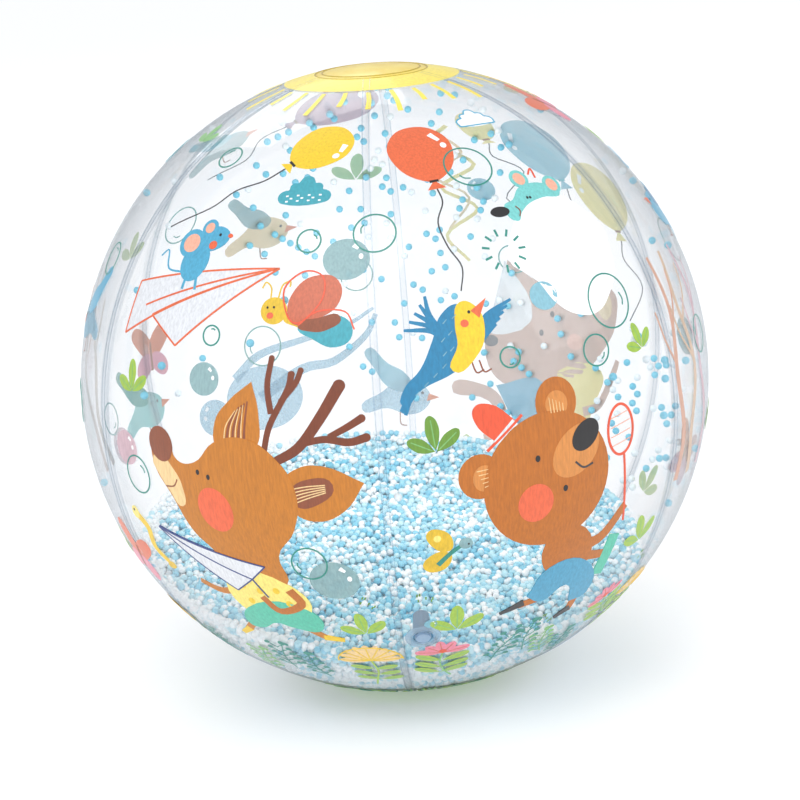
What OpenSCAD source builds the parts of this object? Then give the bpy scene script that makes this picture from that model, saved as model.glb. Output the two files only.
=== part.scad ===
// Inflatable beach ball: six clear film gores lap-welded edge to edge, a round
// cap over each pole, a push-in inflation valve and loose foam beads inside.
// The ball's centre is the origin, its poles are on Z, and -Y is the front.

/* [Ball] */
// Diameter of the inflated ball over the film
ball_d = 350; // [240:5:480]
// Thickness of the clear film
film_t = 0.3; // [0.2:0.05:0.6]
// Width by which a gore laps over its neighbour at a weld
lap_w = 3; // [2:0.5:6]

/* [Pole caps] */
// Diameter of the round cap over each pole
cap_d = 62; // [40:1:90]
// Width of the weld ring that holds a cap to the gores
cap_weld_w = 4; // [3:0.5:8]

/* [Valve] */
// Distance from the front seam to the middle of the valve, along the film
valve_from_seam = 11; // [8:0.5:30]
// How far below the equator the valve sits, in degrees
valve_lat = 37.5; // [30:0.5:45]
// Diameter of the flange welded inside the film
flange_d = 19; // [16:0.5:24]
// Thickness of the flange
flange_t = 0.5; // [0.4:0.1:1]
// Outside diameter of the stem
stem_d = 8; // [7:0.2:10]
// Diameter of the air bore through the stem
bore_d = 5; // [4:0.2:6]
// Length of the stem
stem_len = 14; // [10:0.5:18]
// How far the stem's tip sits below the film when it is pushed in
tip_recess = 0.6; // [0.5:0.1:2]
// Thickness of the rolling sleeve between the flange and the stem
sleeve_t = 0.3; // [0.2:0.05:0.5]
// Length of the plug's shank inside the bore
shank_len = 5; // [4:0.5:7]
// Thickness of the plug's head
plug_head_t = 1; // [0.8:0.1:1.5]
// Radial clearance of the plug's shank in the bore
plug_fit = 0.05; // [0.02:0.01:0.08]
// Thickness of the strap that holds the plug to the stem
strap_t = 0.6; // [0.4:0.1:1]
// Width of the strap
strap_w = 2; // [1.5:0.1:3]
// Thickness of the non-return flap
flap_t = 0.4; // [0.3:0.1:0.6]
// How far the flap laps over the bore's edge
flap_lap = 0.7; // [0.4:0.1:1]

/* [Beads] */
// Diameter of one foam bead
bead_d = 4.2; // [3:0.1:6]
// Gap between the resting beads and the film
bead_gap = 0.3; // [0.3:0.1:1]
// Gap along the film between the heap's edge and the valve's flange
heap_from_valve = 6.5; // [5:0.5:20]
// Tilt of the heap's surface, higher at the back, in degrees
heap_tilt = 9; // [0:0.5:12]
// Lean of the heap's surface, higher at the left, in degrees
heap_lean = 5.5; // [0:0.5:8]
// Thickness of the heap's closed skin, which sets its weight
heap_skin = 0.25; // [0.2:0.05:1]
// Seed for the scatter of beads that cling to the film
scatter_seed = 7; // [1:1:99]

/* [Hidden] */
$fn = 96;
GORES = 6;
gore_angle = 360 / GORES;
front = -90; // the front seam's direction about Z
lap_hold = 1; // width by which a lap is fused to its own gore
edge_gap = 0.4; // gap between a lap's end and the cap's edge
slip = 0.15; // gap between valve pieces that move past each other
head_inset = 0.2; // how far the plug's head stands in from the stem's rim
flap_neck = 0.4; // gap between the flap's disc and the line its tab bends at

ball_r = ball_d / 2;
film_r = ball_r - film_t; // inside of the film
cap_r = cap_d / 2;
skin_r = ball_r + film_t; // outside of the caps and laps

flange_r = flange_d / 2;
stem_r = stem_d / 2;
bore_r = bore_d / 2;
lip_w = 0.4; // how far the stem's lip stands out
lip_t = 0.8;
head_r = stem_r - head_inset;
neck_r = stem_r + lip_w + strap_t + sleeve_t + 2 * slip; // hole in the flange
neck_gap = 1; // film left off round the flange's hole
hole_r = neck_r + neck_gap;
tip_z = ball_r - tip_recess;
base_z = tip_z - stem_len;
valve_turn = asin(valve_from_seam / (ball_r * cos(valve_lat)));

flap_tab_w = 2;
flap_hinge_x = bore_r + flap_lap + flap_neck;

bead_r = bead_d / 2;
heap_r = film_r - bead_gap;
// directions measured from +Y, the axis that the beads turn about
valve_from_axis = acos(-cos(valve_lat) * cos(valve_turn));
heap_from_axis = 90 - heap_tilt;
flange_half = asin(flange_r / film_r);
heap_half = valve_from_axis - heap_from_axis - flange_half
    - heap_from_valve / film_r * 180 / PI;
heap_drop = heap_r * cos(heap_half); // heap's surface below the ball's centre

film_tint = [0.88, 0.94, 0.96, 0.35];
valve_tint = [0.62, 0.74, 0.84, 0.7];

// ---- shared shapes -------------------------------------------------------

// Half section of a round wall from r_in to r_out, kept outside radius "from" of Z
module wall_section(r_in, r_out, from) {
    intersection() {
        difference() {
            circle(r_out);
            circle(r_in);
        }
        translate([from, -r_out]) square([r_out, 2 * r_out]);
    }
}

// Round wall near the +Z pole, between two distances from Z
module dome_ring(r_in, r_out, from, to) {
    rotate_extrude() intersection() {
        wall_section(r_in, r_out, from);
        square([to, r_out]);
    }
}

// Stands its children on the valve's own axis: +Z runs out through the film
module at_valve() {
    rotate([0, 0, front + valve_turn]) rotate([0, 90 + valve_lat, 0]) children();
}

module tube(r, bore, z, h) {
    translate([0, 0, z]) difference() {
        cylinder(r = r, h = h);
        translate([0, 0, -1]) cylinder(r = bore, h = h + 2);
    }
}

// ---- film ----------------------------------------------------------------

// Strip along one edge of a gore that is welded on top of the gore beside it
module lap() {
    intersection() {
        rotate_extrude(angle = 180, start = -90)
            wall_section(ball_r, skin_r, cap_r + edge_gap);
        translate([0, -lap_w, -skin_r]) cube([skin_r, lap_w + lap_hold, 2 * skin_r]);
    }
}

// One gore of the ball, counted from the front seam towards +X
module gore(i) {
    color(film_tint) rotate([0, 0, front + i * gore_angle]) {
        rotate_extrude(angle = gore_angle)
            wall_section(film_r, ball_r, cap_r - cap_weld_w);
        lap();
    }
}

module panel_front_right() {
    difference() {
        gore(0);
        at_valve() cylinder(r = hole_r, h = skin_r + 1);
    }
}
module panel_right() { gore(1); }
module panel_back_right() { gore(2); }
module panel_back_left() { gore(3); }
module panel_left() { gore(4); }
module panel_front_left() { gore(5); }

module top_cap() {
    color([0.98, 0.86, 0.25]) dome_ring(ball_r, skin_r, 0, cap_r);
}
module bottom_cap() {
    color([0.35, 0.75, 0.5]) mirror([0, 0, 1]) dome_ring(ball_r, skin_r, 0, cap_r);
}

// ---- valve ---------------------------------------------------------------

module valve_flange() {
    color(valve_tint) at_valve() dome_ring(film_r - flange_t, film_r, neck_r, flange_r);
}

// Thin sleeve that hangs from the flange's hole and grips the stem's inner end
module valve_sleeve() {
    grip = 0.8; // length of the sleeve's end on the stem
    top = film_r - flange_t / 4; // welded to the edge of the flange's hole
    color(valve_tint) at_valve() rotate_extrude() polygon([
        [neck_r - sleeve_t, top],
        [neck_r, top],
        [neck_r, top - flange_t],
        [stem_r + sleeve_t, base_z + grip],
        [stem_r + sleeve_t, base_z],
        [stem_r, base_z],
        [stem_r, base_z + grip + sleeve_t],
        [neck_r - sleeve_t, top - flange_t]
    ]);
}

module valve_stem() {
    color(valve_tint) at_valve() {
        tube(stem_r, bore_r, base_z, stem_len);
        tube(stem_r + lip_w, bore_r, tip_z - lip_t, lip_t);
    }
}

module valve_plug() {
    shank_r = bore_r - plug_fit;
    taper = 0.6;
    color(valve_tint) at_valve() rotate_extrude() polygon([
        [0, tip_z - shank_len],
        [shank_r - taper, tip_z - shank_len],
        [shank_r, tip_z - shank_len + taper],
        [shank_r, tip_z],
        [head_r, tip_z],
        [head_r, tip_z + plug_head_t],
        [0, tip_z + plug_head_t]
    ]);
}

// Short bent strap beside the stem's lip, from under the lip to the plug's head
module plug_strap() {
    lip_r = stem_r + lip_w;
    end_r = head_r + slip;
    foot_z = tip_z - lip_t - strap_t;
    top_z = tip_z + plug_head_t;
    color(valve_tint) at_valve() rotate([90, 0, 0])
        translate([0, 0, -strap_w / 2]) linear_extrude(strap_w) union() {
            translate([stem_r, foot_z]) square([lip_w + strap_t, strap_t]);
            translate([lip_r, foot_z]) square([strap_t, top_z - foot_z]);
            translate([end_r, top_z - strap_t]) square([lip_r + strap_t - end_r, strap_t]);
        }
}

// Disc under the stem's inner end, with the tab that it bends at
module check_flap() {
    color(valve_tint) at_valve() translate([0, 0, base_z - slip - flap_t]) {
        cylinder(r = bore_r + flap_lap, h = flap_t);
        translate([-flap_hinge_x, -flap_tab_w / 2, 0]) cube([flap_hinge_x, flap_tab_w, flap_t]);
    }
}

// ---- beads ---------------------------------------------------------------

module at_heap() {
    rotate([heap_tilt, heap_lean, 0]) children();
}

module heap_shape(r, surface) {
    intersection() {
        sphere(r);
        translate([-r, -r, -r - 1]) cube([2 * r, 2 * r, r + 1 - surface]);
    }
}

// The resting pile: a closed skin that fills the bottom of the ball
module bead_heap() {
    color([0.72, 0.9, 0.95]) at_heap() difference() {
        heap_shape(heap_r, heap_drop);
        heap_shape(heap_r - heap_skin, heap_drop + heap_skin);
    }
}

// Beads that cling to the film by static, on an even spiral of places over the
// ball. Each patch is [turn from the front, latitude, radius of the patch, chance].
patches = [
    [180, 30, 34, 0.2],
    [172, 4, 24, 0.17],
    [152, -4, 20, 0.12],
    [122, -18, 18, 0.25],
    [55, 2, 14, 0.08],
    [-128, 0, 26, 0.06],
    [-35, 12, 14, 0.06],
    [0, 0, 180, 0.004]
];
golden_angle = 137.50776; // turn from one place on the spiral to the next
place_pitch = bead_d * 1.6; // spacing of the places
places = floor(4 * PI * pow(film_r / place_pitch, 2));
chance_of = rands(0, 1, places, scatter_seed);
tint_of = rands(0, 1, places, scatter_seed + 1);
blue_share = 0.65;
cling_r = film_r - bead_gap - bead_r;

function toward(turn, lat) = [sin(turn) * cos(lat), -cos(turn) * cos(lat), sin(lat)];
function place(i) =
    let (z = 1 - (2 * i + 1) / places, s = sqrt(1 - z * z), a = i * golden_angle)
    [s * cos(a), s * sin(a), z];
function chance(p) =
    max([for (q = patches) acos(min(1, p * toward(q[0], q[1]))) < q[2] ? q[3] : 0]);

// A bead clings clear of the heap, and clear of the ring that the valve's inner end
// sweeps through the beads as they turn about Y.
heap_up = [
    cos(heap_tilt) * sin(heap_lean),
    -sin(heap_tilt),
    cos(heap_tilt) * cos(heap_lean)
];
function above_heap(p) = p * heap_up * cling_r > -heap_drop + bead_d + bead_gap;
valve_clear = flange_half + 1.5 * bead_d / film_r * 180 / PI; // half width of that ring
function off_valve(p) = abs(acos(-p[1]) - (180 - valve_from_axis)) > valve_clear;

clinging = [
    for (i = [0 : places - 1])
        let (p = place(i))
        if (above_heap(p) && off_valve(p) && chance_of[i] < chance(p)) i
];

module bead_at(i) { translate(place(i) * cling_r) sphere(bead_r); }

module loose_beads_blue() {
    color([0.45, 0.8, 0.92]) for (i = clinging) if (tint_of[i] < blue_share) bead_at(i);
}
module loose_beads_white() {
    color([0.95, 0.97, 1]) for (i = clinging) if (tint_of[i] >= blue_share) bead_at(i);
}

panel_front_right();
panel_right();
panel_back_right();
panel_back_left();
panel_left();
panel_front_left();
top_cap();
bottom_cap();
valve_flange();
valve_sleeve();
valve_stem();
plug_strap();
valve_plug();
check_flap();
bead_heap();
loose_beads_blue();
loose_beads_white();
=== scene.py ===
import math
import random

import bmesh
import bpy
import numpy as np
from mathutils import Matrix, Vector, kdtree


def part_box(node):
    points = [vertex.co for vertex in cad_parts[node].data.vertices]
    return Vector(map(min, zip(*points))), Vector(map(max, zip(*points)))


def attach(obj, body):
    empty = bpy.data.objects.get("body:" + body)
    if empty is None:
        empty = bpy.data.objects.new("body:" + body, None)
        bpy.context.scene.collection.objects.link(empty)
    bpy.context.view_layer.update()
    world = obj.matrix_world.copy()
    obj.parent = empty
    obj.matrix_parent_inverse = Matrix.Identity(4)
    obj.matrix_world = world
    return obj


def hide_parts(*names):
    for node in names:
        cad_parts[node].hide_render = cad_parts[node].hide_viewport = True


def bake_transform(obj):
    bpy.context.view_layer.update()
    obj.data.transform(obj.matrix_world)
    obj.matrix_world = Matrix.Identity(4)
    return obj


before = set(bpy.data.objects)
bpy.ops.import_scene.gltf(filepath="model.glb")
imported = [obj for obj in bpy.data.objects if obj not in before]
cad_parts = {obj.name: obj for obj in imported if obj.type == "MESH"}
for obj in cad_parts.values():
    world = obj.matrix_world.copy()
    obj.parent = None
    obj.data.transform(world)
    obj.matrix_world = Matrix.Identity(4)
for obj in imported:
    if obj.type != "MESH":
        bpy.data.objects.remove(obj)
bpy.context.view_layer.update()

# ---- camera ------------------------------------------------------------------
# A long lens a step and a half in front of the ball, a little above its middle.
# The ball leans to the left, so the camera is turned about its own line of sight.
ball_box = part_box("panel_right")[1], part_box("top_cap")[1]
BALL_R = round(ball_box[0][0], 4)  # outside of the clear film
FLOOR_Z = -ball_box[1][2]

turn, rise, lean = math.radians(2.78), math.radians(13.85), math.radians(4.43)
back = Vector((math.sin(turn) * math.cos(rise), -math.cos(turn) * math.cos(rise), math.sin(rise)))
across = Vector((math.cos(turn), math.sin(turn), 0))
upward = back.cross(across)
axes = Matrix((
    across * math.cos(lean) - upward * math.sin(lean),
    across * math.sin(lean) + upward * math.cos(lean),
    back,
)).transposed()
lens = bpy.data.cameras.new("camera")
lens.lens = 122.2
lens.shift_x = 0.0065
lens.shift_y = -0.0289
lens.clip_start, lens.clip_end = 0.1, 50
camera = bpy.data.objects.new("camera", lens)
camera.matrix_world = Matrix.Translation(back * 8.702 * BALL_R) @ axes.to_4x4()
bpy.context.scene.collection.objects.link(camera)
bpy.context.scene.camera = camera

# ---- floor and studio light --------------------------------------------------
# A white sweep of paper under the ball, a bright white room round it, and three
# large soft lights: a main one over the front, a low side one and one behind.


def tint(red, green, blue, strength=1.0):
    """A paint colour, mixed as seen on a screen, as the linear values that shaders use."""
    return (*[(c / 255) ** 2.2 for c in (red, green, blue)], strength)


def show(mesh, name):
    """Makes a finished mesh into an object of the scene."""
    piece = bpy.data.objects.new(name, mesh)
    bpy.context.scene.collection.objects.link(piece)
    return piece


sheet = bmesh.new()
bmesh.ops.create_grid(sheet, x_segments=1, y_segments=1, size=6)
bmesh.ops.translate(sheet, verts=sheet.verts, vec=(0, 0, FLOOR_Z))
floor_mesh = bpy.data.meshes.new("floor")
sheet.to_mesh(floor_mesh)
floor = show(floor_mesh, "floor")
paper = bpy.data.materials.new("white_paper")
paper.use_nodes = True
paper_shader = paper.node_tree.nodes["Principled BSDF"]
paper_shader.inputs["Base Color"].default_value = (0.8, 0.8, 0.8, 1)
paper_shader.inputs["Roughness"].default_value = 0.9
paper_shader.inputs["Specular IOR Level"].default_value = 0.1
paper_shader.inputs["Emission Color"].default_value = (1, 1, 1, 1)
paper_shader.inputs["Emission Strength"].default_value = 0.25
floor_mesh.materials.append(paper)

room = bpy.data.worlds.new("white_room")
room.use_nodes = True
bpy.context.scene.world = room
ways = room.node_tree
seen = ways.nodes.new("ShaderNodeBackground")
seen.inputs["Color"].default_value = (1, 1, 1, 1)
seen.inputs["Strength"].default_value = 1.03
path = ways.nodes.new("ShaderNodeLightPath")
pick = ways.nodes.new("ShaderNodeMixShader")
felt = ways.nodes["Background"]
felt.inputs["Color"].default_value = (0.95, 0.97, 1, 1)
looking = ways.nodes.new("ShaderNodeTexCoord")
parts = ways.nodes.new("ShaderNodeSeparateXYZ")
tent = ways.nodes.new("ShaderNodeMapRange")  # the white tent in front ends just behind the top
tent.interpolation_type = "SMOOTHSTEP"
for name, value in (("From Min", -0.28), ("From Max", -0.16), ("To Min", 1.35), ("To Max", 0.72)):
    tent.inputs[name].default_value = value
ways.links.new(looking.outputs["Generated"], parts.inputs[0])
ways.links.new(parts.outputs["Y"], tent.inputs["Value"])
ways.links.new(tent.outputs[0], felt.inputs["Strength"])
ways.links.new(path.outputs["Is Camera Ray"], pick.inputs[0])
ways.links.new(felt.outputs[0], pick.inputs[1])
ways.links.new(seen.outputs[0], pick.inputs[2])
ways.links.new(pick.outputs[0], ways.nodes["World Output"].inputs[0])

for lamp_name, place, size, power in (
    ("main_light", (-0.5, -1.5, 2.0), 1.6, 14),
    ("side_light", (1.9, -0.6, 1.0), 1.2, 5),
    ("rear_light", (-0.6, 1.8, 1.6), 1.4, 8),
):
    lamp = bpy.data.lights.new(lamp_name, "AREA")
    lamp.size = size
    lamp.energy = power
    light = bpy.data.objects.new(lamp_name, lamp)
    light.matrix_world = Matrix.Translation(place) @ Vector(place).to_track_quat("Z", "Y").to_matrix().to_4x4()
    bpy.context.scene.collection.objects.link(light)
# what bounces about inside the clear ball, as one soft glow in its middle
glow_lamp = bpy.data.lights.new("inner_glow", "POINT")
glow_lamp.energy = 0.34
glow_lamp.shadow_soft_size = 0.05
glow = bpy.data.objects.new("inner_glow", glow_lamp)
glow.location = (0, 0, 0.05)
glow.visible_camera = False
glow.visible_glossy = False
bpy.context.scene.collection.objects.link(glow)
bpy.context.scene.view_settings.view_transform = "Standard"
bpy.context.scene.cycles.transparent_max_bounces = 40

# ---- clear film --------------------------------------------------------------
# Six gores of 0.3 mm soft clear vinyl make the ball. The film is glossy, has a faint
# blue-grey cast where it is seen edge on, and waves slightly where it was rolled.
FILM_T = 0.0003
FILM_FROM = 0.027  # the gores start this far from the poles, under the caps
GORES = ("front_right", "right", "back_right", "back_left", "left", "front_left")
joint_axis = Vector((0.062857, -0.790859, -0.608761)).normalized()  # the way the valve points
VALVE_AT = joint_axis * BALL_R
VALVE_HOLE_R = 0.0064


def shader_tree(name):
    """A new material with only its output node."""
    new = bpy.data.materials.new(name)
    new.use_nodes = True
    new.node_tree.nodes.remove(new.node_tree.nodes["Principled BSDF"])
    return new, new.node_tree, new.node_tree.nodes["Material Output"]


def clear_vinyl(name, middle, edge, gloss, wave_size, wave_height):
    """See-through film: light passes straight on, tinted more towards the rim, under a gloss."""
    vinyl, tree, out = shader_tree(name)
    make, join = tree.nodes.new, tree.links.new
    facing = make("ShaderNodeLayerWeight")
    facing.inputs["Blend"].default_value = 0.35
    cast = make("ShaderNodeValToRGB")
    cast.color_ramp.elements[0].color = middle
    cast.color_ramp.elements[1].color = edge
    cast.color_ramp.elements[0].position = 0.45
    cast.color_ramp.elements[1].position = 1
    through = make("ShaderNodeBsdfTransparent")
    place = make("ShaderNodeTexCoord")
    waves = make("ShaderNodeTexNoise")
    waves.inputs["Scale"].default_value = wave_size
    waves.inputs["Detail"].default_value = 3
    relief = make("ShaderNodeBump")
    relief.inputs["Strength"].default_value = 0.6
    relief.inputs["Distance"].default_value = wave_height
    shine = make("ShaderNodeBsdfGlossy")
    shine.inputs["Roughness"].default_value = 0.06
    slant = make("ShaderNodeLayerWeight")
    slant.inputs["Blend"].default_value = 0.5
    bounce = make("ShaderNodeMapRange")
    bounce.interpolation_type = "SMOOTHSTEP"
    bounce.inputs["From Min"].default_value = 0.35
    bounce.inputs["To Min"].default_value = 0.04
    bounce.inputs["To Max"].default_value = gloss
    blend = make("ShaderNodeMixShader")
    join(facing.outputs["Facing"], cast.inputs[0])
    join(cast.outputs[0], through.inputs[0])
    join(place.outputs["Object"], waves.inputs["Vector"])
    join(waves.outputs["Fac"], relief.inputs["Height"])
    join(relief.outputs[0], shine.inputs["Normal"])
    join(relief.outputs[0], slant.inputs["Normal"])
    join(slant.outputs["Facing"], bounce.inputs["Value"])
    join(bounce.outputs[0], blend.inputs[0])
    join(through.outputs[0], blend.inputs[1])
    join(shine.outputs[0], blend.inputs[2])
    join(blend.outputs[0], out.inputs[0])
    return vinyl


film = clear_vinyl("clear_film", (0.976, 0.979, 0.983, 1), (0.86, 0.88, 0.90, 1), 0.32, 14, 0.0015)

for count, side in enumerate(GORES):
    gore = bmesh.new()
    start = math.asin(FILM_FROM / BALL_R)
    first = gore.verts.new((0, -BALL_R * math.sin(start), BALL_R * math.cos(start)))
    bmesh.ops.spin(gore, geom=[first], cent=(0, 0, 0), axis=(1, 0, 0), angle=math.pi - 2 * start, steps=64)
    bmesh.ops.rotate(gore, verts=gore.verts, cent=(0, 0, 0), matrix=Matrix.Rotation(math.radians(60 * count), 3, "Z"))
    bmesh.ops.spin(gore, geom=gore.verts[:] + gore.edges[:], cent=(0, 0, 0), axis=(0, 0, 1), angle=math.radians(60), steps=22)
    bmesh.ops.remove_doubles(gore, verts=gore.verts, dist=1e-6)
    if side == "front_right":  # a hole for the valve
        for _ in range(3):
            near = [e for e in gore.edges if (e.verts[0].co - VALVE_AT).length < 0.016]
            bmesh.ops.subdivide_edges(gore, edges=near, cuts=1, use_grid_fill=True)
        bmesh.ops.triangulate(gore, faces=[f for f in gore.faces if len(f.verts) > 4])
        inside = [f for f in gore.faces if (f.calc_center_median() - VALVE_AT).length < VALVE_HOLE_R]
        bmesh.ops.delete(gore, geom=inside, context="FACES")
        for vert in gore.verts:
            if vert.is_boundary and (vert.co - VALVE_AT).length < VALVE_HOLE_R + 0.003:
                vert.co = VALVE_AT + (vert.co - VALVE_AT).normalized() * VALVE_HOLE_R
        for vert in gore.verts:
            vert.co = vert.co.normalized() * BALL_R
    bmesh.ops.recalc_face_normals(gore, faces=gore.faces)
    if sum(f.normal.dot(f.calc_center_median()) for f in gore.faces) < 0:
        bmesh.ops.reverse_faces(gore, faces=gore.faces)
    for face in gore.faces:
        face.smooth = True
    gore_mesh = bpy.data.meshes.new("film_" + side)
    gore.to_mesh(gore_mesh)
    gore_mesh.materials.append(film)
    panel = show(gore_mesh, "film_" + side)
    wall = panel.modifiers.new("wall", "SOLIDIFY")
    wall.thickness, wall.offset = FILM_T, -1
    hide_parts("panel_" + side)
    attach(panel, "ball")

# ---- welded seams ------------------------------------------------------------
# Each gore laps 3 mm over the next and is welded there with a hot bar. The bar
# leaves the lap a little milky and squeezes a fine raised line along both edges.
LAP_W = 0.003
LAP_TO = 0.0314  # the laps stop just outside the caps
milky = clear_vinyl("welded_film", (0.965, 0.975, 0.985, 1), (0.84, 0.87, 0.9, 1), 0.35, 420, 0.0004)
ridge_vinyl = clear_vinyl("weld_ridge", (0.87, 0.9, 0.93, 1), (0.72, 0.77, 0.82, 1), 0.4, 700, 0.0003)


def weld_strip(name, count, from_x, to_x, foot, height, vinyl):
    """A strip of the ball's surface that runs beside seam number count, from pole cap to pole cap."""
    strip = bmesh.new()
    start = math.asin(LAP_TO / BALL_R)
    low = BALL_R + foot
    first = strip.verts.new((0, -low * math.sin(start), low * math.cos(start)))
    bmesh.ops.spin(strip, geom=[first], cent=(0, 0, 0), axis=(1, 0, 0), angle=math.pi - 2 * start, steps=96)
    bmesh.ops.rotate(strip, verts=strip.verts, cent=(0, 0, 0), matrix=Matrix.Rotation(math.radians(-7), 3, "Z"))
    bmesh.ops.spin(strip, geom=strip.verts[:] + strip.edges[:], cent=(0, 0, 0), axis=(0, 0, 1), angle=math.radians(12), steps=12)
    for limit, outward in ((from_x, -1), (to_x, 1)):
        bmesh.ops.bisect_plane(
            strip, geom=strip.verts[:] + strip.edges[:] + strip.faces[:],
            plane_co=(limit, 0, 0), plane_no=(outward, 0, 0), clear_outer=True,
        )
    bmesh.ops.recalc_face_normals(strip, faces=strip.faces)
    if sum(f.normal.dot(f.calc_center_median()) for f in strip.faces) < 0:
        bmesh.ops.reverse_faces(strip, faces=strip.faces)
    grown = bmesh.ops.extrude_face_region(strip, geom=strip.faces[:], use_keep_orig=True)
    risen = [v for v in grown["geom"] if isinstance(v, bmesh.types.BMVert)]
    bmesh.ops.scale(strip, verts=risen, vec=[(low + height) / low] * 3)
    bmesh.ops.rotate(strip, verts=strip.verts, cent=(0, 0, 0), matrix=Matrix.Rotation(math.radians(60 * count), 3, "Z"))
    bmesh.ops.recalc_face_normals(strip, faces=strip.faces)
    strip_mesh = bpy.data.meshes.new(name)
    strip.to_mesh(strip_mesh)
    strip_mesh.materials.append(vinyl)
    piece = show(strip_mesh, name)
    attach(piece, "ball")


for count, side in enumerate(GORES):
    weld_strip("lap_" + side, count, -LAP_W, 0.0006, 0.00002, 0.00025, milky)
    weld_strip("weld_edge_a_" + side, count, -LAP_W - 0.0002, -LAP_W + 0.0004, 0.00002, 0.0004, ridge_vinyl)
    weld_strip("weld_edge_b_" + side, count, 0.0003, 0.0009, 0.00002, 0.0004, ridge_vinyl)

# ---- pole caps ---------------------------------------------------------------
# A round vinyl patch closes the hole that the gores leave at each pole. It is
# printed on its inside, yellow above and green below, and welded in a double ring.
CAP_R = 0.031
CAP_WELD = 0.004


def dyed_vinyl(name, deep, light, opacity, grain, rough=0.3, stretch=1.0):
    """Printed vinyl: uneven ink under a soft gloss, with some light passing through."""
    vinyl, tree, out = shader_tree(name)
    make, join = tree.nodes.new, tree.links.new
    place = make("ShaderNodeTexCoord")
    cloud = make("ShaderNodeTexNoise")
    cloud.inputs["Scale"].default_value = grain
    cloud.inputs["Detail"].default_value = 6
    cloud.inputs["Roughness"].default_value = 0.65
    spread = make("ShaderNodeValToRGB")
    spread.color_ramp.elements[0].position = 0.34
    spread.color_ramp.elements[1].position = 0.66
    spread.color_ramp.elements[0].color = deep
    spread.color_ramp.elements[1].color = light
    body = make("ShaderNodeBsdfPrincipled")
    body.inputs["Roughness"].default_value = rough
    body.inputs["Coat Weight"].default_value = 0.3
    body.inputs["Coat Roughness"].default_value = 0.1
    relief = make("ShaderNodeBump")
    relief.inputs["Strength"].default_value = 0.25
    relief.inputs["Distance"].default_value = 0.0002
    pencil = make("ShaderNodeMapping")  # draws the grain out into upright pencil strokes
    pencil.inputs["Scale"].default_value = (1, 1, stretch)
    join(place.outputs["Object"], pencil.inputs["Vector"])
    join(pencil.outputs[0], cloud.inputs["Vector"])
    join(cloud.outputs["Fac"], spread.inputs[0])
    join(cloud.outputs["Fac"], relief.inputs["Height"])
    join(spread.outputs[0], body.inputs["Base Color"])
    join(relief.outputs[0], body.inputs["Normal"])
    if opacity == 1:
        join(body.outputs[0], out.inputs[0])
        return vinyl
    through = make("ShaderNodeBsdfTransparent")  # light passes two faces of a print, so each tints half
    through.inputs[0].default_value = (*[math.sqrt((a + b) / 2) for a, b in zip(deep[:3], light[:3])], 1)
    blend = make("ShaderNodeMixShader")
    blend.inputs[0].default_value = opacity
    join(through.outputs[0], blend.inputs[1])
    join(body.outputs[0], blend.inputs[2])
    join(blend.outputs[0], out.inputs[0])
    return vinyl


yellow_cap = dyed_vinyl("yellow_cap_vinyl", tint(246, 214, 62), tint(253, 234, 112), 0.8, 90)
green_cap = dyed_vinyl("green_cap_vinyl", tint(96, 186, 130), tint(140, 214, 160), 0.55, 90)
ring_yellow = dyed_vinyl("yellow_weld_ring", tint(186, 158, 40), tint(214, 188, 70), 0.8, 500)
ring_green = dyed_vinyl("green_weld_ring", tint(66, 140, 96), tint(90, 168, 120), 0.7, 500)

for node, half, vinyl, ring_vinyl, slot in (
    ("top_cap", 1, yellow_cap, ring_yellow, "yellow_cap"),
    ("bottom_cap", -1, green_cap, ring_green, "green_cap"),
):
    cap = bmesh.new()
    edge_turn = math.asin(CAP_R / BALL_R)
    pole = cap.verts.new((0, 0, BALL_R))
    bmesh.ops.spin(cap, geom=[pole], cent=(0, 0, 0), axis=(1, 0, 0), angle=edge_turn, steps=12)
    bmesh.ops.spin(
        cap, geom=cap.verts[:] + cap.edges[:], cent=(0, 0, 0), axis=(0, 0, 1),
        angle=math.tau, steps=72, use_merge=True,
    )
    bmesh.ops.remove_doubles(cap, verts=cap.verts, dist=1e-6)
    if half < 0:
        bmesh.ops.scale(cap, verts=cap.verts, vec=(1, 1, -1))
    bmesh.ops.recalc_face_normals(cap, faces=cap.faces)
    if sum(f.normal.dot(f.calc_center_median()) for f in cap.faces) < 0:
        bmesh.ops.reverse_faces(cap, faces=cap.faces)
    for face in cap.faces:
        face.smooth = True
    cap_mesh = bpy.data.meshes.new(node + "_patch")
    cap.to_mesh(cap_mesh)
    cap_mesh.materials.append(vinyl)
    patch = show(cap_mesh, node + "_patch")
    wall = patch.modifiers.new("wall", "SOLIDIFY")
    wall.thickness, wall.offset = FILM_T * 0.9, 1
    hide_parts(node)
    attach(patch, "ball")
    for number, ring_r in enumerate((CAP_R, CAP_R - CAP_WELD)):
        ring = bmesh.new()
        on_ball = math.sqrt(BALL_R**2 - ring_r**2) + FILM_T
        section = bmesh.ops.create_circle(ring, segments=8, radius=0.0004)["verts"]
        bmesh.ops.rotate(ring, verts=section, cent=(0, 0, 0), matrix=Matrix.Rotation(math.pi / 2, 3, "X"))
        bmesh.ops.translate(ring, verts=section, vec=(ring_r - 0.0002, 0, half * on_ball))
        bmesh.ops.spin(
            ring, geom=ring.verts[:] + ring.edges[:], cent=(0, 0, 0), axis=(0, 0, 1),
            angle=math.tau, steps=96, use_merge=True,
        )
        bmesh.ops.remove_doubles(ring, verts=ring.verts, dist=1e-7)
        bmesh.ops.recalc_face_normals(ring, faces=ring.faces)
        ring_mesh = bpy.data.meshes.new(f"{node}_weld_{number}")
        ring.to_mesh(ring_mesh)
        ring_mesh.materials.append(ring_vinyl)
        welded = show(ring_mesh, f"{node}_weld_{number}")
        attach(welded, "ball")

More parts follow.
